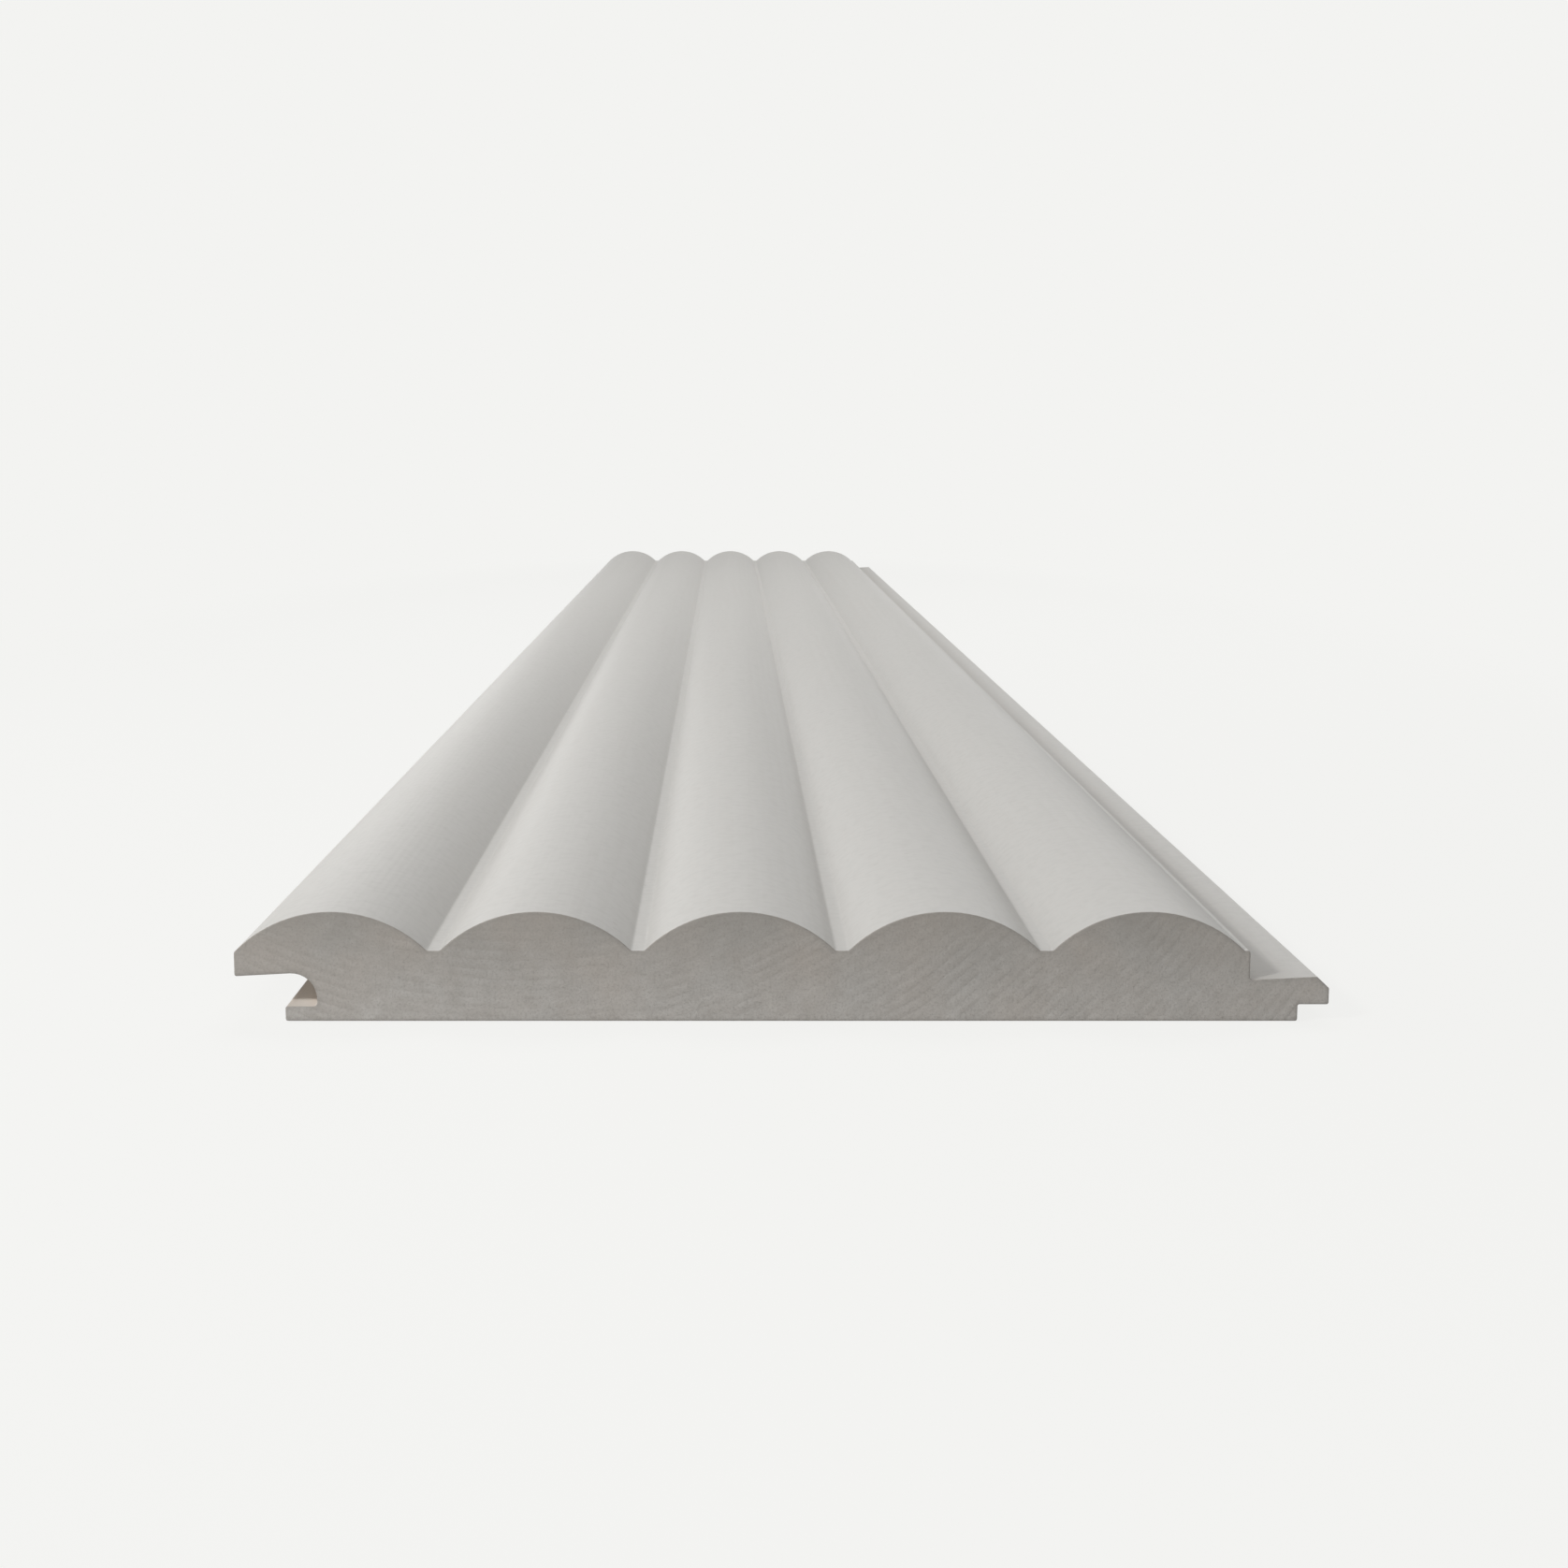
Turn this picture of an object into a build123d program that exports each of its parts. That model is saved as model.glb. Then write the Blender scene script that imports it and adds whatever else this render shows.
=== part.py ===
from build123d import *
from math import radians, sqrt, tan
import os

# A wall lining board with round reeds along its face, a groove under a long lip on one
# edge and a tongue on the other, so that boards lock side by side on a wall.
# X runs across the board from the groove to the tongue, Y along it, and Z up from its flat
# back. The origin is in the back face, in the middle of the overall width and length.

# Driving dimensions of the board, in millimetres
board_length = 1200.0
board_thickness = 18.0

# Driving dimensions of the reeds: each is a round cut down to a narrow flat on both sides
reed_count = 5
reed_width = 30.9
reed_height = 6.4
valley_flat = 2.1
shoulder_flat = 0.95
lip_overrun = 0.25

# Driving dimensions of the groove edge
lower_lip_thickness = 2.4
lower_lip_setback = 8.1
groove_mouth = 5.0
groove_corner_radius = 4.1
joint_slope = 3.0

# Driving dimensions of the tongue
tongue_length = 12.9
nose_chamfer = 2.0
root_radius = 0.6

# Clearances between a tongue and the groove of the next board
lip_clearance = 0.65
floor_clearance = 0.35
nose_clearance = 0.35
back_gap = 0.2

# Broken corners along the joint edges
arris_radius = 0.4

# Reeds: the first one runs a little past its foot, down to the edge of the lip
reed_pitch = reed_width + valley_flat
reed_radius = ((reed_width / 2) ** 2 + reed_height**2) / (2 * reed_height)
valley_height = board_thickness - reed_height

# Widths across the board
cover_width = lip_overrun + reed_count * reed_pitch - valley_flat + shoulder_flat
overall_width = cover_width + tongue_length
lip_edge = -overall_width / 2
first_reed = lip_edge + lip_overrun + reed_width / 2
shoulder = lip_edge + cover_width
nose = shoulder + tongue_length
groove_back = lip_edge + tongue_length + nose_clearance
lower_lip_edge = lip_edge + lower_lip_setback
back_edge = shoulder + lower_lip_setback - back_gap

# Heights above the back face
groove_floor = lower_lip_thickness
tongue_underside = groove_floor + floor_clearance


def reed_surface(offset):
    """Height of a reed's round face at an offset from its crest."""
    return board_thickness - reed_radius + sqrt(reed_radius**2 - offset**2)


def lip_underside(distance):
    """Height of the lip's sloping underside at a distance in from its edge."""
    return groove_floor + groove_mouth + distance * tan(radians(joint_slope))


def tongue_top(distance):
    """Height of the tongue's top, which follows the underside of the next board's lip."""
    return lip_underside(distance) - lip_clearance


# The board is one run of stock: its section is drawn once and pushed out along Y
with BuildPart() as reeded_board:
    with BuildSketch(Plane.XZ) as section:
        with BuildLine() as outline:
            lip_top = (lip_edge, reed_surface(first_reed - lip_edge))
            reed_start = lip_top
            # Reeds across the face, each one an arc that ends in a flat
            for reed in range(reed_count):
                crest = first_reed + reed * reed_pitch
                reed_end = (crest + reed_width / 2, valley_height)
                ThreePointArc(reed_start, (crest, board_thickness), reed_end)
                last = reed == reed_count - 1
                flat = shoulder_flat if last else valley_flat
                reed_start = (reed_end[0] + flat, valley_height)
                Line(reed_end, reed_start)
            # Shoulder, tongue, flat back and groove, round to the edge of the lip
            Polyline(
                (shoulder, valley_height),
                (shoulder, tongue_top(0)),
                (nose, tongue_top(tongue_length)),
                (nose, tongue_underside),
                (back_edge, tongue_underside),
                (back_edge, 0),
                (lower_lip_edge, 0),
                (lower_lip_edge, groove_floor),
                (groove_back, groove_floor),
                (groove_back, lip_underside(groove_back - lip_edge)),
                (lip_edge, lip_underside(0)),
                lip_top,
            )
        make_face()
    extrude(amount=board_length / 2, both=True)

    def long_edge_at(x, z):
        """The edge along the board that passes nearest to a point of the section."""
        return edges().filter_by(Axis.Y).sort_by_distance((x, 0, z))[0]

    # Deep round corner at the top of the groove, as its cutter leaves it
    groove_corner = long_edge_at(groove_back, lip_underside(groove_back - lip_edge))
    fillet(groove_corner, groove_corner_radius)
    # Bevel that leads the tongue into the next groove, and the small round at its root
    chamfer(long_edge_at(nose, tongue_top(tongue_length)), nose_chamfer)
    fillet(long_edge_at(shoulder, tongue_top(0)), root_radius)
    # Arrises of the lip, the lower lip, the back and the tongue, broken by sanding
    arrises = [
        (lip_edge, lip_underside(0)),
        (lower_lip_edge, groove_floor),
        (lower_lip_edge, 0),
        (back_edge, 0),
        (nose, tongue_underside),
    ]
    for x, z in arrises:
        fillet(long_edge_at(x, z), arris_radius)

reeded_board.part.label = "reeded_board"
os.makedirs("parts", exist_ok=True)
export_step(reeded_board.part, "parts/reeded_board.step")

section_area = reeded_board.part.volume / board_length
print(f"reed radius {reed_radius:.2f} mm, cover width {cover_width:.2f} mm, overall {overall_width:.2f} mm")
print(f"section area {section_area:.0f} mm2, volume {reeded_board.part.volume / 1e6:.3f} litres")
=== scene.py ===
# %% [markdown]
# # A reeded lining board in pale grey primer
# This lesson dresses one length of wall lining: a board with round reeds on its face, a
# groove on one edge, a tongue on the other, and a coat of sprayed primer all over.
# The measured solid comes in first as a fixed frame, in metres, with Z up. Everything made
# here is built around it and stays inside it, so the first thing kept is its box.

# %% Load the measured board
import math

import bpy
import numpy as np
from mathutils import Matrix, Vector, noise
from mathutils.geometry import delaunay_2d_cdt


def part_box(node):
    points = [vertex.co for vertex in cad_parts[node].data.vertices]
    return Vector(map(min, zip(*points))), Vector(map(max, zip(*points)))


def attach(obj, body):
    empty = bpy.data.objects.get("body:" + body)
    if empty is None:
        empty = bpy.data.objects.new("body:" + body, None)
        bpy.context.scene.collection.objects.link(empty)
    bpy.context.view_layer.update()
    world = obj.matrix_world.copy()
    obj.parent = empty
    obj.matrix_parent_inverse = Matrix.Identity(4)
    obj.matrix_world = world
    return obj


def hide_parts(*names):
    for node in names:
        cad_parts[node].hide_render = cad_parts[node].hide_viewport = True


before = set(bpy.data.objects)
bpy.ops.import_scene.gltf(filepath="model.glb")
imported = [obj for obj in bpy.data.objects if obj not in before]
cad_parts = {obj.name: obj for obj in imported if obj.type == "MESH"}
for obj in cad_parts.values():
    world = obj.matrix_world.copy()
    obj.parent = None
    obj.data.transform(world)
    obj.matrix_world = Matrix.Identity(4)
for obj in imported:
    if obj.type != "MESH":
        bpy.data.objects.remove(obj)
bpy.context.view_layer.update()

board_low, board_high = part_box("reeded_board")
print("lowest corner of the solid", [round(v, 4) for v in board_low])
print("highest corner of the solid", [round(v, 4) for v in board_high])

# %% [markdown]
# ## The camera
# The photograph looks along the board from just in front of its near end, a little above
# it. The camera could be placed by eye, but here its place was worked out from the spacing
# of the reeds: their pitch at the near end is about four times the pitch at the far end.
# The near end is then 364 mm away, seen with a normal lens that tilts down by 8.5 degrees.
# A small sideways shift frames the board in the middle of the square.

# %% Camera
mm = 0.001
near_end = board_low[1]
far_end = board_high[1]

camera_data = bpy.data.cameras.new("board_camera")
camera_data.sensor_width = 36
camera_data.lens = 53
camera_data.shift_x = 0.036
camera = bpy.data.objects.new("board_camera", camera_data)
camera_ahead = 364.2 * mm
camera_side = -8.8 * mm
camera_height = 93.4 * mm
camera_tilt = math.radians(8.52)
camera.location = (camera_side, near_end - camera_ahead, camera_height)
camera.rotation_euler = (math.radians(90) - camera_tilt, 0, 0)
bpy.context.scene.collection.objects.link(camera)
bpy.context.scene.camera = camera
print("camera stands", round(camera_ahead / mm), "mm in front of the near end")

# %% [markdown]
# ## The section
# A moulder cuts the whole board in one pass, so one section describes it all. The packed
# solid has only a few flats on each reed, and its corners are sharp. For a close view the
# board is drawn again from the same sizes, with more steps round each reed.
# The section could be traced as a list of points. It is easier to change, and to read, as a
# list of corners, each with a small rounding and the name of the surface that starts there.

# %% Sizes of the section
reed_count = 5
reed_width = 30.9 * mm
reed_height = 6.4 * mm
valley_flat = 2.1 * mm
lip_overrun = 0.25 * mm
board_thickness = 18 * mm
tongue_length = 12.9 * mm
nose_clearance = 0.35 * mm
nose_chamfer = 2 * mm
lower_lip_thickness = 2.4 * mm
lower_lip_setback = 8.1 * mm
back_gap = 0.2 * mm
groove_mouth = 5 * mm
groove_corner = 4.1 * mm
joint_slope = math.tan(math.radians(3))
lip_clearance = 0.65 * mm
seat_clearance = 0.35 * mm
root_rounding = 0.6 * mm
arris = 0.35 * mm
valley_rounding = 0.7 * mm
soft_corner = 0.3 * mm

reed_pitch = reed_width + valley_flat
reed_radius = ((reed_width / 2) ** 2 + reed_height**2) / (2 * reed_height)
reed_centre = board_thickness - reed_radius
valley = board_thickness - reed_height
lip_edge = board_low[0]
nose = board_high[0]
shoulder = nose - tongue_length
groove_back = lip_edge + tongue_length + nose_clearance
lower_lip_edge = lip_edge + lower_lip_setback
back_edge = shoulder + lower_lip_setback - back_gap
tongue_underside = lower_lip_thickness + seat_clearance
first_reed = lip_edge + lip_overrun + reed_width / 2
print("reed radius", round(reed_radius / mm, 2), "mm")
print("cover width", round((shoulder - lip_edge) / mm, 2), "mm")


# %% Corners of the section
def lip_underside(distance):
    """Height of the sloping underside of the lip, a distance in from its edge."""
    return lower_lip_thickness + groove_mouth + distance * joint_slope


def tongue_top(distance):
    """Height of the top of the tongue, a distance out from the shoulder."""
    return lip_underside(distance) - lip_clearance


def reed_corners(crest, left, steps=26):
    """Points round one reed from its left foot to its right foot."""
    right = crest + reed_width / 2
    start = math.asin((left - crest) / reed_radius)
    end = math.asin((right - crest) / reed_radius)
    points = []
    for step in range(steps + 1):
        turn = start + (end - start) * step / steps
        foot = step in (0, steps)
        x = crest + reed_radius * math.sin(turn)
        z = reed_centre + reed_radius * math.cos(turn)
        points.append((x, z, valley_rounding if foot else 0, "face"))
    return points


def section_corners():
    """All corners of the board: across, height, rounding, and the surface that starts there."""
    corners = []
    for reed in range(reed_count):
        crest = first_reed + reed * reed_pitch
        left = lip_edge if reed == 0 else crest - reed_width / 2
        corners += reed_corners(crest, left)
    groove_roof = lip_underside(groove_back - lip_edge)
    corners += [
        (shoulder, valley, arris, "face"),
        (shoulder, tongue_top(0), root_rounding, "face"),
        (nose - nose_chamfer, tongue_top(tongue_length - nose_chamfer), arris, "face"),
        (nose, tongue_top(tongue_length) - nose_chamfer, arris, "face"),
        (nose, tongue_underside, arris, "joint"),
        (back_edge, tongue_underside, soft_corner, "joint"),
        (back_edge, 0, arris, "back"),
        (lower_lip_edge, 0, arris, "face"),
        (lower_lip_edge, lower_lip_thickness, arris, "joint"),
        (groove_back, lower_lip_thickness, root_rounding, "joint"),
        (groove_back, groove_roof, groove_corner, "joint"),
        (lip_edge, lip_underside(0), arris, "face"),
    ]
    return corners


corners = section_corners()
print(len(corners), "corners before rounding")

# %% [markdown]
# ## Rounding and spacing
# Real paint never sits on a sharp corner. Each corner is replaced by a short arc, which
# catches a thin line of light. A bevel modifier could do this, but it would also bevel the
# steps round the reeds, so the arcs are worked out here, where each corner has its own size.
# Long straight runs then get points of their own, and one point close to each corner keeps
# the smooth shading from spreading over the flats.

# %% Round the corners
fewest_steps = 3
degrees_per_step = 12


def left_of(step):
    """The direction square to a step, on its left, which is out of the wood here."""
    return Vector((-step.y, step.x)).normalized()


def round_corner(before, corner, after, radius):
    """The arc that replaces one corner: its points, outward directions, and if it is raised."""
    back = (before - corner).normalized()
    ahead = (after - corner).normalized()
    raised = back.x * ahead.y - back.y * ahead.x > 0
    turn = math.pi - back.angle(ahead)
    reach = radius * math.tan(turn / 2)
    centre = corner + (back + ahead).normalized() * radius / math.cos(turn / 2)
    first = (corner + back * reach - centre).normalized()
    last = (corner + ahead * reach - centre).normalized()
    steps = max(fewest_steps, math.ceil(math.degrees(turn) / degrees_per_step))
    arc = []
    for step in range(steps + 1):
        spoke = first.slerp(last, step / steps)
        arc.append((centre + spoke * radius, spoke if raised else -spoke))
    return arc, raised


def rounded_section(corners):
    """The section as (point, outward direction, surface that starts there, raised or not)."""
    places = [Vector((x, z)) for x, z, _, _ in corners]
    outline = []
    for i, (_, _, radius, surface) in enumerate(corners):
        before = places[i - 1]
        after = places[(i + 1) % len(places)]
        if radius == 0:
            outline.append((places[i], left_of(after - before), surface, False))
            continue
        arc, raised = round_corner(before, places[i], after, radius)
        for step, (point, outward) in enumerate(arc):
            owner = surface if 2 * step >= len(arc) else corners[i - 1][3]
            outline.append((point, outward, owner, raised))
    return outline


def spaced_section(outline, spacing, hold):
    """The outline with points added along every run longer than three holds."""
    spaced = []
    for i, (point, outward, surface, raised) in enumerate(outline):
        spaced.append((point, outward, surface, raised))
        ahead = outline[(i + 1) % len(outline)][0] - point
        if ahead.length < 3 * hold:
            continue
        parts = max(1, math.ceil((ahead.length - 2 * hold) / spacing))
        for part in range(parts + 1):
            reach = hold + (ahead.length - 2 * hold) * part / parts
            spaced.append((point + ahead.normalized() * reach, left_of(ahead), surface, False))
    return spaced


outline = spaced_section(rounded_section(corners), spacing=1.3 * mm, hold=0.3 * mm)
around = len(outline)
print(around, "points round the section")

# %% [markdown]
# ## Where edges wear, and where shade is painted
# Sprayed primer is thinnest on the arrises, because the wet film draws back from them. To
# use that in the materials, each point of the mesh carries a number called arris: 1 on a
# raised corner, and fading out over about a millimetre. A node could find edges too, but a
# number stored on the mesh is quicker and also works when the board is baked.
# A second number marks the root of the tongue, behind the shoulder, where shade is painted
# into the colour. There the photograph shows a dark, warmer band that fades outwards.

# %% Arris strength of each point
def arris_strength(outline, reach=0.5 * mm):
    """How near each point lies to a raised corner, from 0 to 1."""
    raised = [point for point, _, _, on_corner in outline if on_corner]
    strength = []
    for point, _, _, _ in outline:
        nearest = min((point - other).length for other in raised)
        strength.append(math.exp(-nearest / reach))
    return strength


def painted_shade_strength(outline, along_tongue=9 * mm, up_shoulder=4.8 * mm):
    """How strongly painted shade darkens each point behind the shoulder, from 0 to 1."""
    root = Vector((shoulder, tongue_top(0)))
    strength = []
    for point, _, _, _ in outline:
        behind = point.x > shoulder - root_rounding and root.y - root_rounding < point.y < valley
        reach = along_tongue if point.x > shoulder + root_rounding else up_shoulder
        strength.append(max(0.0, 1 - (point - root).length / reach) if behind else 0.0)
    return strength


# Painted shade: strongest at the root of the tongue, fading out along it and up the shoulder.
arris_of_point = arris_strength(outline)
painted_shade_of_point = painted_shade_strength(outline)
print("points on arrises:", sum(value > 0.9 for value in arris_of_point))
print("shaded points:", sum(value > 0 for value in painted_shade_of_point))

# %% [markdown]
# ## The run of the board
# The section is repeated along Y like ribs, and faces are laid between each pair of ribs.
# An extrude would do the same, but here the first and last ribs are drawn in a little, so
# that the ends have a broken edge too, as sanding and primer leave it.

# %% Ribs along the board
end_rounding = 0.2 * mm
rounding_steps = 3
rib_spacing = 20 * mm


def rib_places():
    """Each rib as (how far along Y, how far it is drawn in)."""
    near = []
    for step in range(rounding_steps + 1):
        turn = math.radians(90 * step / rounding_steps)
        along = end_rounding * (1 - math.cos(turn))
        drawn_in = end_rounding * (1 - math.sin(turn))
        near.append((near_end + along, drawn_in))
    near.append((near_end + 2 * end_rounding, 0))
    first = near[-1][0]
    last = far_end - 2 * end_rounding
    count = round((last - first) / rib_spacing)
    middle = [(first + (last - first) * i / count, 0) for i in range(1, count)]
    both_ends = near_end + far_end
    far = [(both_ends - y, drawn_in) for y, drawn_in in reversed(near)]
    return near + middle + far


ribs = rib_places()
board_points = []
for y, drawn_in in ribs:
    for point, outward, _, _ in outline:
        place = point - outward * drawn_in
        board_points.append((place.x, y, place.y))

surface_slots = {"face": 0, "joint": 1, "back": 2, "end": 3}
board_faces = []
face_slots = []
for rib in range(len(ribs) - 1):
    for i in range(around):
        j = (i + 1) % around
        here = rib * around
        there = here + around
        board_faces.append((here + i, here + j, there + j, there + i))
        rounding = min(rib, len(ribs) - 2 - rib) < rounding_steps
        face_slots.append(surface_slots["end" if rounding else outline[i][2]])
print(len(ribs), "ribs,", len(board_faces), "faces along the board")

# %% [markdown]
# ## The sawn ends
# Both ends are cut with a circular saw, whose teeth leave shallow arcs, and the wood's
# growth rings stand a little above the softer wood between them. One big face would be
# dead flat and would show in the mesh as such. So the end is filled with a fine net of
# triangles, and each inner point is lifted or sunk by a few hundredths of a millimetre.
# The Delaunay tool makes that net and keeps the board's outline as its border.

# %% Relief of a sawn end
blade_centre = Vector((-30 * mm, 132 * mm))
tooth_spacing = 1.9 * mm
tooth_depth = 0.018 * mm
fibre_depth = 0.03 * mm
wander_scale = 60
fibre_scale = 900
fibre_seed = 5
near_seed = 3
far_seed = 8


def sawn_relief(point, seed):
    """How far a point of the end face stands out, in metres."""
    reach = (point - blade_centre).length
    wander = noise.noise(Vector((point.x * wander_scale, point.y * wander_scale, seed)))
    teeth = math.sin(2 * math.pi * (reach / tooth_spacing + wander))
    fibres = noise.noise(Vector((point.x * fibre_scale, point.y * fibre_scale,
                                 seed + fibre_seed)))
    return tooth_depth * teeth + fibre_depth * fibres


middle_relief = sawn_relief(Vector((0, board_thickness / 2)), near_seed)
print("relief in the middle of the near end", round(middle_relief / mm, 4), "mm")


# %% A net of triangles for an end
clear_share = 0.6
inside_only = 1
weld_distance = 1e-9
net_spacing = 0.6 * mm


def points_inside(points, border):
    """Keeps the points that lie inside the closed border."""
    ahead = np.roll(border, -1, axis=0)
    inside = np.zeros(len(points), dtype=bool)
    for (ax, az), (bx, bz) in zip(border, ahead):
        if az == bz:
            continue
        crosses = (points[:, 1] < az) != (points[:, 1] < bz)
        at = ax + (bx - ax) * (points[:, 1] - az) / (bz - az)
        inside ^= crosses & (points[:, 0] < at)
    return points[inside]


def clear_of_border(points, border, clear):
    """Keeps the points that lie further than a distance from every border point."""
    apart = np.linalg.norm(points[:, None] - border[None], axis=2).min(axis=1)
    return points[apart > clear]


def end_net(border, spacing):
    """Border and inner points of an end, and triangles between them."""
    row_height = spacing * math.sqrt(3) / 2
    rows = math.ceil(board_thickness / row_height)
    columns = math.ceil((nose - lip_edge) / spacing)
    row, column = np.mgrid[0:rows, 0:columns]
    across = lip_edge + (column + 0.5 * (row % 2)) * spacing
    grid = np.stack([across.ravel(), (row * row_height).ravel()], axis=1)
    grid = clear_of_border(points_inside(grid, border), border, spacing * clear_share)
    points = [Vector(place) for place in np.vstack([border, grid])]
    rim = [(i, (i + 1) % len(border)) for i in range(len(border))]
    net = delaunay_2d_cdt(points, rim, [], inside_only, weld_distance)
    triangles, origins = net[2], net[3]
    print("points that the net had to add:", sum(not origin for origin in origins))
    return points, [[origins[i][0] for i in triangle] for triangle in triangles]


border = np.array([point - outward * end_rounding for point, outward, _, _ in outline])
net_points, net_triangles = end_net(border, net_spacing)
print(len(net_points), "points in the net")

# %% Close both ends
for end_rib, out, seed in ((0, -1, near_seed), (len(ribs) - 1, 1, far_seed)):
    rim_start = end_rib * around
    inner_start = len(board_points)
    end_place = ribs[end_rib][0]
    for point in net_points[around:]:
        lift = sawn_relief(point, seed)
        board_points.append((point.x, end_place + out * lift, point.y))
    for triangle in net_triangles:
        ids = [rim_start + i if i < around else inner_start + i - around for i in triangle]
        board_faces.append(tuple(ids if out < 0 else reversed(ids)))
        face_slots.append(surface_slots["end"])
print(len(net_triangles), "triangles in each end")

# %% [markdown]
# ## One closed piece
# The points and faces become one mesh, which stands for the solid in every view. A closed
# mesh matters: it can be weighed, printed and baked. So the cell measures its volume, which
# also shows that the faces look outwards, because a mesh turned inside out gives a minus.
# The stored numbers go in with it. The ribs that round off an end count as arris all the way
# round, and the inner points of the ends carry neither arris nor painted shade.

# %% Build the board
mesh = bpy.data.meshes.new("lining_board")
mesh.from_pydata(board_points, [], board_faces)
mesh.polygons.foreach_set("material_index", face_slots)
mesh.polygons.foreach_set("use_smooth", [True] * len(board_faces))
net_values = [0.0] * 2 * (len(net_points) - around)
# The painted shade number of each point.
painted_shade_layer = mesh.attributes.new("painted_shade", "FLOAT", "POINT")
painted_shade_layer.data.foreach_set("value", painted_shade_of_point * len(ribs) + net_values)
arris_layer = mesh.attributes.new("arris", "FLOAT", "POINT")
arris_values = arris_of_point * len(ribs) + net_values
rounding_ribs = list(range(rounding_steps + 1))
for rib in rounding_ribs + [len(ribs) - 1 - i for i in rounding_ribs]:
    for i in range(around):
        arris_values[rib * around + i] = 1.0
arris_layer.data.foreach_set("value", arris_values)
mesh.update()

board = bpy.data.objects.new("lining_board", mesh)
bpy.context.scene.collection.objects.link(board)
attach(board, "root")
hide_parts("reeded_board")


def mesh_volume(mesh):
    """Volume inside a closed mesh, in cubic metres."""
    mesh.calc_loop_triangles()
    total = 0
    for triangle in mesh.loop_triangles:
        a, b, c = (mesh.vertices[i].co for i in triangle.vertices)
        total += a.dot(b.cross(c)) / 6
    return total


litre = 0.001
print("volume", round(mesh_volume(mesh) / litre, 4), "litres")
print(len(mesh.loop_triangles), "triangles")

# %% [markdown]
# ## Helpers for the finishes
# Every finish on this board is procedural: it is worked out from the place of each point in
# the wood, so it is as sharp close up as from afar. Effects that more than one finish needs
# are node groups with named sockets, built once. A few helpers keep the node code short.

# %% Node helpers
def add_node(tree, kind, **settings):
    """A node with some of its settings and socket values filled in."""
    node = tree.nodes.new(kind)
    for name, value in settings.items():
        if hasattr(node, name):
            setattr(node, name, value)
        else:
            node.inputs[name.replace("_", " ")].default_value = value
    return node


def start_group(name, inputs, outputs):
    """An empty node group with named sockets, and its two end nodes."""
    group = bpy.data.node_groups.new(name, "ShaderNodeTree")
    number = "NodeSocketFloat"
    for label, value in inputs.items():
        socket = group.interface.new_socket(name=label, in_out="INPUT", socket_type=number)
        socket.default_value = value
    for label in outputs:
        group.interface.new_socket(name=label, in_out="OUTPUT", socket_type=number)
    return group, group.nodes.new("NodeGroupInput"), group.nodes.new("NodeGroupOutput")


def maths(tree, operation, first, second=None, third=None):
    """A Math node whose inputs are sockets or plain numbers. Gives its output socket."""
    node = tree.nodes.new("ShaderNodeMath")
    node.operation = operation
    for slot, value in enumerate((first, second, third)):
        if isinstance(value, (int, float)):
            node.inputs[slot].default_value = value
        elif value is not None:
            tree.links.new(value, node.inputs[slot])
    return node.outputs[0]


def srgb(red, green, blue):
    """A colour read from 0 to 255, as the linear colour that shaders use, by the sRGB curve."""
    linear = []
    for value in (red, green, blue):
        share = value / 255
        linear.append(share / 12.92 if share <= 0.04045 else ((share + 0.055) / 1.055) ** 2.4)
    return (*linear, 1)


print("primer is", [round(v, 3) for v in srgb(196, 194, 190)[:3]], "in linear light")

# %% [markdown]
# ## Growth rings
# A board is sawn from round rings, so on its end they are arcs about the pith, and on its
# faces long streaks. A flat picture of grain would not agree with itself at the corners.
# Instead this group measures the distance of each point from the pith, which lies outside
# the board and above it, and turns that distance into rings. One noise makes them wander and
# another lets them show only in patches, because primer hides most of them.

# %% Growth rings group
noise_middle = 0.5


def build_growth_rings():
    """Rings about a pith that runs along Y. Gives the hard late wood of each ring."""
    inputs = {"Pith Side": -0.045, "Pith Height": 0.098, "Ring Width": 0.0021, "Wander": 0.0035}
    group, start, finish = start_group("Growth Rings", inputs, ["Late Wood"])
    place = add_node(group, "ShaderNodeTexCoord").outputs["Object"]
    split = add_node(group, "ShaderNodeSeparateXYZ")
    group.links.new(place, split.inputs[0])
    side = maths(group, "SUBTRACT", split.outputs["X"], start.outputs["Pith Side"])
    height = maths(group, "SUBTRACT", split.outputs["Z"], start.outputs["Pith Height"])
    reach = maths(group, "SQRT", maths(group, "ADD", maths(group, "MULTIPLY", side, side),
                                       maths(group, "MULTIPLY", height, height)))
    stretch = add_node(group, "ShaderNodeMapping", Scale=(1, 0.12, 1))
    group.links.new(place, stretch.inputs["Vector"])
    drift = add_node(group, "ShaderNodeTexNoise", Scale=26, Detail=3)
    group.links.new(stretch.outputs[0], drift.inputs["Vector"])
    centred = maths(group, "SUBTRACT", drift.outputs["Fac"], noise_middle)
    wandering = maths(group, "MULTIPLY_ADD", centred, start.outputs["Wander"], reach)
    rings = maths(group, "DIVIDE", wandering, start.outputs["Ring Width"])
    within = maths(group, "FRACT", rings)
    rise = add_node(group, "ShaderNodeMapRange", From_Min=0.1, From_Max=0.8)
    fall = add_node(group, "ShaderNodeMapRange", From_Min=1, From_Max=0.82)
    for side_of_ring in (rise, fall):
        side_of_ring.interpolation_type = "SMOOTHSTEP"
        group.links.new(within, side_of_ring.inputs["Value"])
    late = maths(group, "MULTIPLY", rise.outputs["Result"], fall.outputs["Result"])
    patches = add_node(group, "ShaderNodeTexNoise", Scale=70, Detail=2)
    group.links.new(stretch.outputs[0], patches.inputs["Vector"])
    shown = add_node(group, "ShaderNodeMapRange", From_Min=0.38, From_Max=0.62)
    group.links.new(patches.outputs["Fac"], shown.inputs["Value"])
    visible = maths(group, "MULTIPLY", late, shown.outputs["Result"])
    group.links.new(visible, finish.inputs["Late Wood"])
    return group


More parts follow.
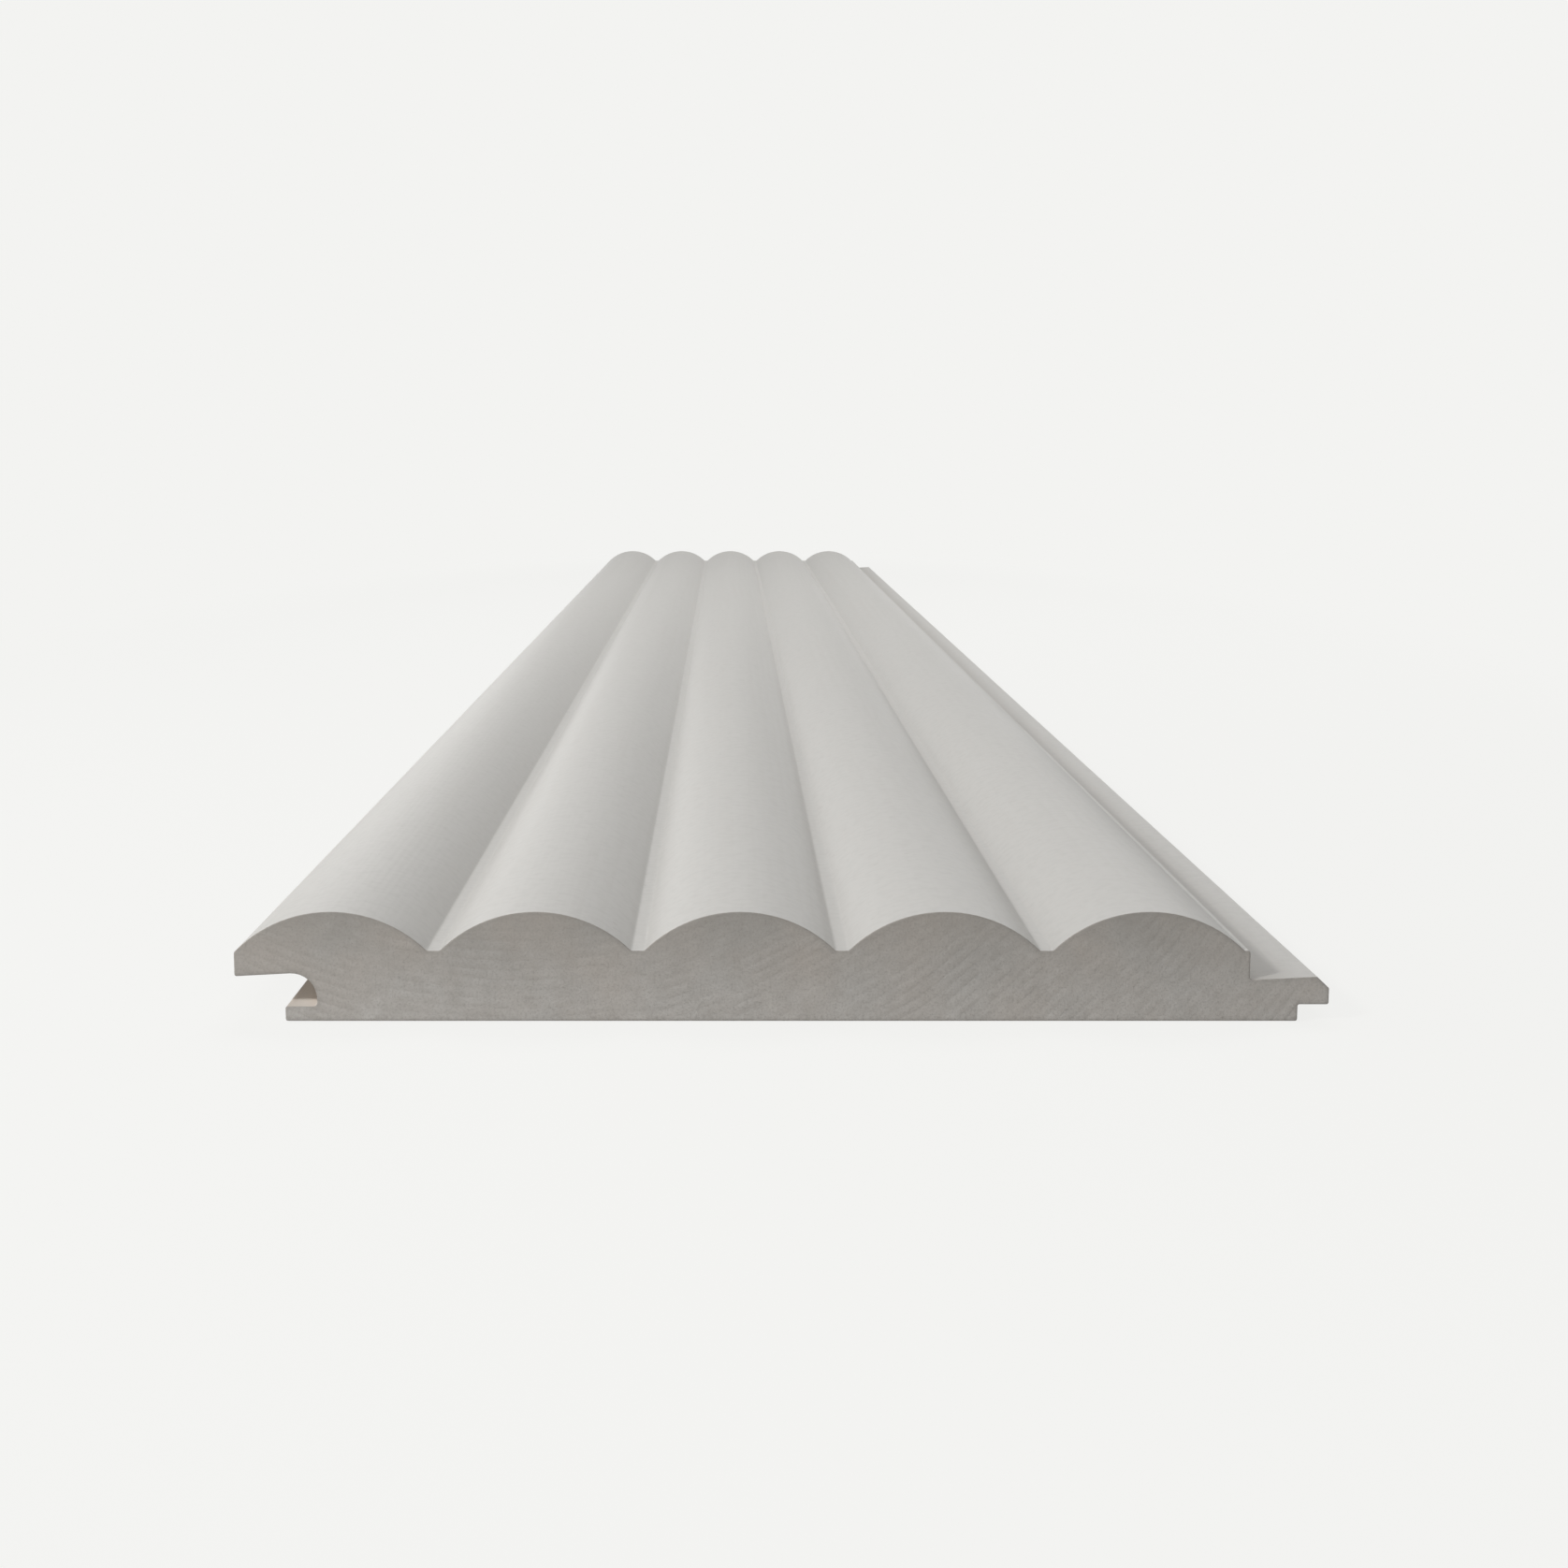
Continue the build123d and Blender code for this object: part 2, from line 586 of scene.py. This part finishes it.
growth_rings = build_growth_rings()
print("built", growth_rings.name)

# %% [markdown]
# ## Fibres under the paint
# Water in the primer swells the surface fibres, and they dry as fine raised streaks along
# the board. They are noise stretched far along Y. Two sizes are mixed, because one size
# alone looks combed.

# %% Raised fibres group
coarse_share = 0.31


def build_raised_fibres():
    """Streaks along Y. Gives their height from 0 to 1."""
    inputs = {"Fineness": 900, "Length": 0.02}
    group, start, finish = start_group("Raised Fibres", inputs, ["Height"])
    place = add_node(group, "ShaderNodeTexCoord").outputs["Object"]
    scale = add_node(group, "ShaderNodeCombineXYZ", X=1, Z=1)
    group.links.new(start.outputs["Length"], scale.inputs["Y"])
    stretch = add_node(group, "ShaderNodeVectorMath", operation="MULTIPLY")
    group.links.new(place, stretch.inputs[0])
    group.links.new(scale.outputs[0], stretch.inputs[1])
    coarse = maths(group, "MULTIPLY", start.outputs["Fineness"], coarse_share)
    heights = []
    for size, detail in ((start.outputs["Fineness"], 2), (coarse, 3)):
        streaks = add_node(group, "ShaderNodeTexNoise", Detail=detail, Roughness=0.6)
        group.links.new(stretch.outputs[0], streaks.inputs["Vector"])
        group.links.new(size, streaks.inputs["Scale"])
        heights.append(streaks.outputs["Fac"])
    mixed = maths(group, "MULTIPLY", maths(group, "ADD", *heights), 1 / len(heights))
    group.links.new(mixed, finish.inputs["Height"])
    return group


raised_fibres = build_raised_fibres()
print("built", raised_fibres.name)

# %% [markdown]
# ## The sprayed coat
# Primer from a gun lands as droplets that flow together: the film is slightly pebbled, its
# tone drifts by a percent or two from pass to pass, and here and there a dry speck or a grain
# of dust stands up. The group gives all three, so that each finish can take as much as it needs.

# %% Sprayed coat group
speck_reach = 0.16
speck_rarity = 0.93


def build_sprayed_coat():
    """Mottle of the tone, pebbled height of the film, and scattered dry specks."""
    inputs = {"Pebble": 520, "Drift": 9, "Speck": 330}
    group, start, finish = start_group("Sprayed Coat", inputs, ["Mottle", "Film", "Specks"])
    place = add_node(group, "ShaderNodeTexCoord").outputs["Object"]
    parts = {}
    for label, socket, detail in (("Film", "Pebble", 2), ("Mottle", "Drift", 5)):
        cloud = add_node(group, "ShaderNodeTexNoise", Detail=detail, Roughness=0.55)
        group.links.new(place, cloud.inputs["Vector"])
        group.links.new(start.outputs[socket], cloud.inputs["Scale"])
        parts[label] = cloud.outputs["Fac"]
    cells = add_node(group, "ShaderNodeTexVoronoi")
    group.links.new(place, cells.inputs["Vector"])
    group.links.new(start.outputs["Speck"], cells.inputs["Scale"])
    dot = maths(group, "LESS_THAN", cells.outputs["Distance"], speck_reach)
    chosen = add_node(group, "ShaderNodeSeparateColor")
    group.links.new(cells.outputs["Color"], chosen.inputs[0])
    rare = maths(group, "GREATER_THAN", chosen.outputs["Red"], speck_rarity)
    group.links.new(maths(group, "MULTIPLY", dot, rare), finish.inputs["Specks"])
    group.links.new(parts["Film"], finish.inputs["Film"])
    group.links.new(parts["Mottle"], finish.inputs["Mottle"])
    return group


sprayed_coat = build_sprayed_coat()
print("built", sprayed_coat.name)

# %% [markdown]
# ## Thin paint on the arrises
# The number stored on the mesh says where the raised corners are. A clean band would look
# like a drawn line, so noise breaks it up, and only the proudest spots let the wood through.

# %% Thin edge group
def build_thin_edge():
    """Where the film is thin on raised corners, from 0 to 1."""
    group, start, finish = start_group("Thin Edge", {"Break Up": 240}, ["Thin"])
    place = add_node(group, "ShaderNodeTexCoord").outputs["Object"]
    stored = add_node(group, "ShaderNodeAttribute", attribute_name="arris")
    patches = add_node(group, "ShaderNodeTexNoise", Detail=3)
    group.links.new(place, patches.inputs["Vector"])
    group.links.new(start.outputs["Break Up"], patches.inputs["Scale"])
    broken = maths(group, "MULTIPLY", stored.outputs["Fac"], patches.outputs["Fac"])
    spread = add_node(group, "ShaderNodeMapRange", From_Min=0.42, From_Max=0.68)
    group.links.new(broken, spread.inputs["Value"])
    group.links.new(spread.outputs["Result"], finish.inputs["Thin"])
    return group


thin_edge = build_thin_edge()
print("built", thin_edge.name)

# %% [markdown]
# ## Starting a finish
# Each finish needs the same steps: a Principled shader, the groups it uses, a few blended
# colours and a chain of bumps. The helpers below do those, and leave the choice of colours
# and strengths to each finish. Its colours have names, given just before it.

# %% Material helpers
def start_finish(name, specular):
    """A material with one Principled shader, and its node tree."""
    material = bpy.data.materials.new(name)
    material.use_nodes = True
    tree = material.node_tree
    shader = tree.nodes["Principled BSDF"]
    shader.inputs["Specular IOR Level"].default_value = specular
    return material, tree, shader


def use_group(tree, group, **values):
    """Places a node group and sets its named inputs."""
    node = tree.nodes.new("ShaderNodeGroup")
    node.node_tree = group
    for name, value in values.items():
        node.inputs[name.replace("_", " ")].default_value = value
    return node


def blend_colour(tree, share, first, second):
    """Mixes two colours, or a colour and a socket, by a share that varies over the surface."""
    mix = tree.nodes.new("ShaderNodeMix")
    mix.data_type = "RGBA"
    tree.links.new(share, mix.inputs["Factor"])
    for socket, value in ((mix.inputs[6], first), (mix.inputs[7], second)):
        if isinstance(value, tuple):
            socket.default_value = value
        else:
            tree.links.new(value, socket)
    return mix.outputs[2]


def add_bump(tree, height, depth, under=None):
    """A Bump node, on top of an earlier one if there is one. Gives its normal."""
    bump = add_node(tree, "ShaderNodeBump", Strength=1, Distance=depth)
    tree.links.new(height, bump.inputs["Height"])
    if under is not None:
        tree.links.new(under, bump.inputs["Normal"])
    return bump.outputs["Normal"]


def set_range(tree, value, at_0, at_1):
    """Spreads a 0 to 1 value between two numbers."""
    spread = add_node(tree, "ShaderNodeMapRange", To_Min=at_0, To_Max=at_1)
    tree.links.new(value, spread.inputs["Value"])
    return spread.outputs["Result"]


def share_of(tree, mask, most):
    """A 0 to 1 mask made weaker, so that it never goes above a given share."""
    return maths(tree, "MULTIPLY", mask, most)


def complete_finish(tree, shader, tone, dullness, normal):
    """Feeds a finish's colour, roughness and normal to its shader."""
    tree.links.new(tone, shader.inputs["Base Color"])
    tree.links.new(dullness, shader.inputs["Roughness"])
    tree.links.new(normal, shader.inputs["Normal"])


helpers = (start_finish, use_group, blend_colour, add_bump, set_range, share_of, complete_finish)
print("helpers:", [helper.__name__ for helper in helpers])

# %% [markdown]
# ## The primed face
# The reeds, both edges and the tongue carry a full coat: pale warm grey, matt, almost white
# in strong light. Its colour could be one flat value, but in the photograph the tone
# drifts gently, fibres show faintly, and the film is a little duller where it is thick.
# Behind the shoulder the colour is darkened and warmed: painted shade at the root of the tongue.

# %% Primed face
coat_shade = srgb(193, 191, 187)
coat_light = srgb(200, 198, 194)
coat_grain = srgb(184, 182, 178)
coat_ring = srgb(186, 182, 176)
# Darker, warmer tone painted into the root of the tongue as shade.
painted_shade_tone = srgb(146, 139, 130)
worn_arris = srgb(206, 201, 193)
dry_speck = srgb(176, 172, 166)


def primed_face():
    """Full coat of pale grey primer over planed wood."""
    material, tree, shader = start_finish("primed_face", specular=0.45)
    coat = use_group(tree, sprayed_coat)
    fibres = use_group(tree, raised_fibres)
    rings = use_group(tree, growth_rings)
    edge = use_group(tree, thin_edge)
    drift = set_range(tree, coat.outputs["Mottle"], at_0=-0.1, at_1=1.1)
    tone = blend_colour(tree, drift, coat_shade, coat_light)
    grainy = set_range(tree, coat.outputs["Film"], at_0=-0.6, at_1=0.8)
    tone = blend_colour(tree, grainy, tone, coat_grain)
    through = share_of(tree, rings.outputs["Late Wood"], most=0.12)
    tone = blend_colour(tree, through, tone, coat_ring)
    # Painted shade at the root of the tongue, read from the number on the mesh.
    painted_shade = add_node(tree, "ShaderNodeAttribute", attribute_name="painted_shade")
    shade_share = share_of(tree, painted_shade.outputs["Fac"], most=0.65)
    tone = blend_colour(tree, shade_share, tone, painted_shade_tone)
    worn = share_of(tree, edge.outputs["Thin"], most=0.35)
    tone = blend_colour(tree, worn, tone, worn_arris)
    specked = share_of(tree, coat.outputs["Specks"], most=0.3)
    tone = blend_colour(tree, specked, tone, dry_speck)
    dullness = set_range(tree, coat.outputs["Mottle"], at_0=0.45, at_1=0.58)
    normal = add_bump(tree, fibres.outputs["Height"], depth=0.04 * mm)
    normal = add_bump(tree, rings.outputs["Late Wood"], depth=0.01 * mm, under=normal)
    normal = add_bump(tree, coat.outputs["Film"], depth=0.04 * mm, under=normal)
    normal = add_bump(tree, coat.outputs["Specks"], depth=0.03 * mm, under=normal)
    complete_finish(tree, shader, tone, dullness, normal)
    return material


face_finish = primed_face()
print("mixed", face_finish.name)

# %% [markdown]
# ## Inside the joint
# The gun hardly reaches into the groove and under the tongue. Only a thin pinkish veil of
# primer lies there, over wood that the cutter left a little rougher, with its own brown
# showing where the spray missed.

# %% Thinly primed joint
joint_wood_shade = srgb(214, 202, 190)
joint_wood_light = srgb(230, 221, 211)
joint_ring = srgb(204, 188, 172)
joint_veil = srgb(232, 228, 222)
thinnest_veil = 0.35
thickest_veil = 0.95


def thinly_primed_joint():
    """A veil of primer over uncoated machined wood."""
    material, tree, shader = start_finish("thinly_primed_joint", specular=0.3)
    coat = use_group(tree, sprayed_coat, Pebble=700, Drift=34)
    fibres = use_group(tree, raised_fibres, Fineness=700)
    rings = use_group(tree, growth_rings)
    cover = set_range(tree, coat.outputs["Mottle"], at_0=-0.5, at_1=1.4)
    grain = set_range(tree, fibres.outputs["Height"], at_0=-0.3, at_1=1.3)
    wood = blend_colour(tree, grain, joint_wood_shade, joint_wood_light)
    late = share_of(tree, rings.outputs["Late Wood"], most=0.4)
    wood = blend_colour(tree, late, wood, joint_ring)
    veil = maths(tree, "MINIMUM", maths(tree, "MAXIMUM", cover, thinnest_veil), thickest_veil)
    tone = blend_colour(tree, veil, wood, joint_veil)
    dullness = set_range(tree, coat.outputs["Mottle"], at_0=0.85, at_1=0.65)
    normal = add_bump(tree, fibres.outputs["Height"], depth=0.12 * mm)
    normal = add_bump(tree, coat.outputs["Film"], depth=0.05 * mm, under=normal)
    complete_finish(tree, shader, tone, dullness, normal)
    return material


joint_finish = thinly_primed_joint()
print("mixed", joint_finish.name)

# %% [markdown]
# ## The back
# The back is never seen on the wall. It gets one thin, fast coat, so the planed wood grins
# through it: rings and fibres are stronger than on the face, and faint ripples from the
# planer's knives cross the board every few millimetres.

# %% Primed back
back_shade = srgb(178, 173, 165)
back_light = srgb(192, 189, 183)
back_ring = srgb(166, 155, 142)


def primed_back():
    """One thin coat over planed wood, with the planer's ripples across it."""
    material, tree, shader = start_finish("primed_back", specular=0.3)
    coat = use_group(tree, sprayed_coat, Drift=14)
    fibres = use_group(tree, raised_fibres, Fineness=620)
    rings = use_group(tree, growth_rings)
    drift = set_range(tree, coat.outputs["Mottle"], at_0=-0.3, at_1=1.3)
    tone = blend_colour(tree, drift, back_shade, back_light)
    late = share_of(tree, rings.outputs["Late Wood"], most=0.3)
    tone = blend_colour(tree, late, tone, back_ring)
    dullness = set_range(tree, coat.outputs["Mottle"], at_0=0.6, at_1=0.8)
    place = add_node(tree, "ShaderNodeTexCoord").outputs["Object"]
    ripples = add_node(tree, "ShaderNodeTexWave", bands_direction="Y",
                       Scale=105, Distortion=0.6, Detail=1)
    tree.links.new(place, ripples.inputs["Vector"])
    normal = add_bump(tree, ripples.outputs["Fac"], depth=0.03 * mm)
    normal = add_bump(tree, fibres.outputs["Height"], depth=0.1 * mm, under=normal)
    normal = add_bump(tree, coat.outputs["Film"], depth=0.05 * mm, under=normal)
    complete_finish(tree, shader, tone, dullness, normal)
    return material


back_finish = primed_back()
print("mixed", back_finish.name)

# %% [markdown]
# ## The sawn ends
# End grain drinks primer, so the same coat dries darker and flatter there. The fine speckle is
# cut fibres seen end on, and the soft streaks are growth rings, level on the left and slanting
# on the right, because the pith lay above the left half. The wood warms the grey in broad
# patches. The reeds' tops stay a little darker than the lower half, and the rim of the end is
# darkest.

# %% Primed sawn end
end_low = srgb(204, 201, 196)
end_high = srgb(168, 164, 158)
end_cloud = srgb(146, 141, 134)
end_warmth = srgb(190, 179, 168)
end_ring = srgb(154, 147, 139)
end_pore = srgb(142, 137, 131)
# Darker tone for the rim of each end.
darker_rim = srgb(146, 142, 136)


def primed_sawn_end():
    """Primer soaked into end grain, with rings, cut fibres and saw marks."""
    material, tree, shader = start_finish("primed_sawn_end", specular=0.25)
    coat = use_group(tree, sprayed_coat, Pebble=900, Drift=60)
    rings = use_group(tree, growth_rings, Ring_Width=0.0016)
    place = add_node(tree, "ShaderNodeTexCoord").outputs["Object"]
    height = add_node(tree, "ShaderNodeSeparateXYZ")
    tree.links.new(place, height.inputs[0])
    upper = add_node(tree, "ShaderNodeMapRange", From_Min=1 * mm, From_Max=board_thickness)
    tree.links.new(height.outputs["Z"], upper.inputs["Value"])
    tone = blend_colour(tree, upper.outputs["Result"], end_low, end_high)
    clouds = add_node(tree, "ShaderNodeTexNoise", Scale=330, Detail=4, Roughness=0.75)
    tree.links.new(place, clouds.inputs["Vector"])
    patchy = add_node(tree, "ShaderNodeMapRange", From_Min=0.3, From_Max=0.7, To_Max=0.36)
    tree.links.new(clouds.outputs["Fac"], patchy.inputs["Value"])
    tone = blend_colour(tree, patchy.outputs["Result"], tone, end_cloud)
    warm = set_range(tree, coat.outputs["Mottle"], at_0=-0.5, at_1=0.75)
    tone = blend_colour(tree, warm, tone, end_warmth)
    late = share_of(tree, rings.outputs["Late Wood"], most=0.2)
    tone = blend_colour(tree, late, tone, end_ring)
    speckle = add_node(tree, "ShaderNodeTexNoise", Scale=2400, Detail=3, Roughness=0.7)
    tree.links.new(place, speckle.inputs["Vector"])
    pores = add_node(tree, "ShaderNodeMapRange", From_Min=0.48, From_Max=0.75, To_Max=0.5)
    tree.links.new(speckle.outputs["Fac"], pores.inputs["Value"])
    tone = blend_colour(tree, pores.outputs["Result"], tone, end_pore)
    # Darkens the rim of each end, along the arris number.
    rim = add_node(tree, "ShaderNodeAttribute", attribute_name="arris")
    rim_share = share_of(tree, rim.outputs["Fac"], most=0.3)
    tone = blend_colour(tree, rim_share, tone, darker_rim)
    dullness = set_range(tree, clouds.outputs["Fac"], at_0=0.72, at_1=0.88)
    normal = add_bump(tree, speckle.outputs["Fac"], depth=0.06 * mm)
    normal = add_bump(tree, rings.outputs["Late Wood"], depth=0.02 * mm, under=normal)
    normal = add_bump(tree, coat.outputs["Film"], depth=0.04 * mm, under=normal)
    complete_finish(tree, shader, tone, dullness, normal)
    return material


end_finish = primed_sawn_end()
print("mixed", end_finish.name)

# %% Dress the board
for finish in (face_finish, joint_finish, back_finish, end_finish):
    mesh.materials.append(finish)
print("finishes:", [finish.name for finish in mesh.materials])

# %% [markdown]
# ## The floor and the white around it
# The board is photographed on seamless near-white. Lighting a real floor until it is that
# white would wash out the board, so the floor's own colour makes it: most of it is a plain
# glow that only the camera and reflections see, and a small share is real paint that still
# takes the board's soft shadow. That share fades out in an oval round the board, so that no
# horizon shows, nor the bright pools that the near lamps would throw on the floor beside it.
# The painted share is a little darker than the glow, so the glow is lifted where they mix.

# %% Background white
background_white = srgb(243, 243, 241)
lifted_white = srgb(245, 245, 243)
side_reach = 0.35
end_reach = 0.95


def seen_directly(tree):
    """1 for the camera, reflections and light passing through, and 0 for other light."""
    path = tree.nodes.new("ShaderNodeLightPath")
    seen = maths(tree, "MAXIMUM", path.outputs["Is Camera Ray"], path.outputs["Is Glossy Ray"])
    return maths(tree, "MAXIMUM", seen, path.outputs["Is Transmission Ray"])


def seamless_floor(shadow_share=0.09, bounce=0.5):
    """Near-white floor that keeps a soft shadow near the board."""
    material = bpy.data.materials.new("seamless_floor")
    material.use_nodes = True
    tree = material.node_tree
    tree.nodes.clear()
    place = add_node(tree, "ShaderNodeTexCoord").outputs["Object"]
    oval = add_node(tree, "ShaderNodeMapping", Scale=(1 / side_reach, 1 / end_reach, 0))
    tree.links.new(place, oval.inputs["Vector"])
    reach = add_node(tree, "ShaderNodeVectorMath", operation="LENGTH")
    tree.links.new(oval.outputs[0], reach.inputs[0])
    near = add_node(tree, "ShaderNodeMapRange", From_Min=0.7, From_Max=1, To_Min=1, To_Max=0)
    near.interpolation_type = "SMOOTHSTEP"
    tree.links.new(reach.outputs["Value"], near.inputs["Value"])
    glow = tree.nodes.new("ShaderNodeEmission")
    near_white = blend_colour(tree, near.outputs["Result"], background_white, lifted_white)
    tree.links.new(near_white, glow.inputs["Color"])
    paint = add_node(tree, "ShaderNodeBsdfDiffuse", Color=background_white)
    looks = tree.nodes.new("ShaderNodeMixShader")
    painted = share_of(tree, near.outputs["Result"], most=shadow_share)
    tree.links.new(painted, looks.inputs["Fac"])
    tree.links.new(glow.outputs[0], looks.inputs[1])
    tree.links.new(paint.outputs[0], looks.inputs[2])
    sent_back = add_node(tree, "ShaderNodeBsdfDiffuse", Color=(bounce, bounce, bounce, 1))
    both = tree.nodes.new("ShaderNodeMixShader")
    tree.links.new(seen_directly(tree), both.inputs["Fac"])
    tree.links.new(sent_back.outputs[0], both.inputs[1])
    tree.links.new(looks.outputs[0], both.inputs[2])
    output = tree.nodes.new("ShaderNodeOutputMaterial")
    tree.links.new(both.outputs[0], output.inputs["Surface"])
    return material


floor_half = 6
floor_gap = 0.2 * mm
floor_mesh = bpy.data.meshes.new("seamless_floor")
floor_corners = [(-floor_half, -floor_half, 0), (floor_half, -floor_half, 0),
                 (floor_half, floor_half, 0), (-floor_half, floor_half, 0)]
floor_mesh.from_pydata(floor_corners, [], [(0, 1, 2, 3)])
floor_mesh.materials.append(seamless_floor())
floor = bpy.data.objects.new("seamless_floor", floor_mesh)
floor.location.z = board_low[2] - floor_gap
bpy.context.scene.collection.objects.link(floor)
print("floor lies at", round(floor.location.z / mm, 2), "mm")

# %% [markdown]
# ## The light
# In the photograph the left flank of each reed is bright and the right flank dark near the
# camera, and the difference dies away towards the far end. So the key lamp is small, close
# and in front on the left, with a low white card beside it. Its height follows from the
# shadow of the shoulder on the tongue. Wide soft lamps, one over the far half and one to its
# right, brighten the crests there and even out the flanks. A weak one in front fills the
# sawn end and shines a little way down the groove, and a low pair behind shows the far end.
# Together they make a plain level, at which a colour renders about as it is written.

# %% Lamps
def add_lamp(name, place, target, size, watts):
    """A square soft lamp that points at a target."""
    data = bpy.data.lights.new(name, "AREA")
    data.shape = "SQUARE"
    data.size = size
    data.energy = watts
    lamp = bpy.data.objects.new(name, data)
    lamp.location = place
    lamp.rotation_euler = (Vector(target) - Vector(place)).to_track_quat("-Z", "Y").to_euler()
    bpy.context.scene.collection.objects.link(lamp)
    return lamp


near_middle = Vector((0, near_end, board_thickness))
far_middle = Vector((0, far_end, board_thickness))
key_direction = Vector((-5.5, -4.5, 4.6)).normalized()
key_distance = 0.8
lamps = [
    add_lamp("key_lamp", near_middle + key_direction * key_distance, near_middle,
             size=0.1, watts=3.4),
    add_lamp("left_card", near_middle + Vector((-0.6, 0.15, 0.23)),
             near_middle + Vector((0, 0.15, 0)), size=0.3, watts=0.85),
    add_lamp("overhead_softbox", (0, 0.19, 1), (0, 0.19, 0), size=0.7, watts=5.3),
    add_lamp("right_softbox", far_middle + Vector((0.6, -0.1, 0.9)),
             far_middle + Vector((0, -0.2, 0)), size=0.6, watts=1),
    add_lamp("front_fill", near_middle + Vector((0.2, -1, 0.25)), near_middle,
             size=0.7, watts=1.6),
    add_lamp("back_left_fill", far_middle + Vector((-0.5, 0.9, 0.2)), far_middle,
             size=0.4, watts=0.8),
    add_lamp("back_right_fill", far_middle + Vector((0.5, 0.9, 0.2)), far_middle,
             size=0.4, watts=0.6),
]
print("lamps:", [lamp.name for lamp in lamps])

# %% Light from all round
world = bpy.data.worlds.new("studio")
bpy.context.scene.world = world
world.use_nodes = True
studio = world.node_tree
studio.nodes.clear()
fill = add_node(studio, "ShaderNodeBackground", Color=(1, 1, 1, 1), Strength=0.18)
white = add_node(studio, "ShaderNodeBackground", Color=background_white, Strength=1)
choice = studio.nodes.new("ShaderNodeMixShader")
studio.links.new(seen_directly(studio), choice.inputs["Fac"])
studio.links.new(fill.outputs[0], choice.inputs[1])
studio.links.new(white.outputs[0], choice.inputs[2])
studio_output = studio.nodes.new("ShaderNodeOutputWorld")
studio.links.new(choice.outputs[0], studio_output.inputs["Surface"])
bpy.context.scene.view_settings.view_transform = "Standard"
print("fill strength", fill.inputs["Strength"].default_value)
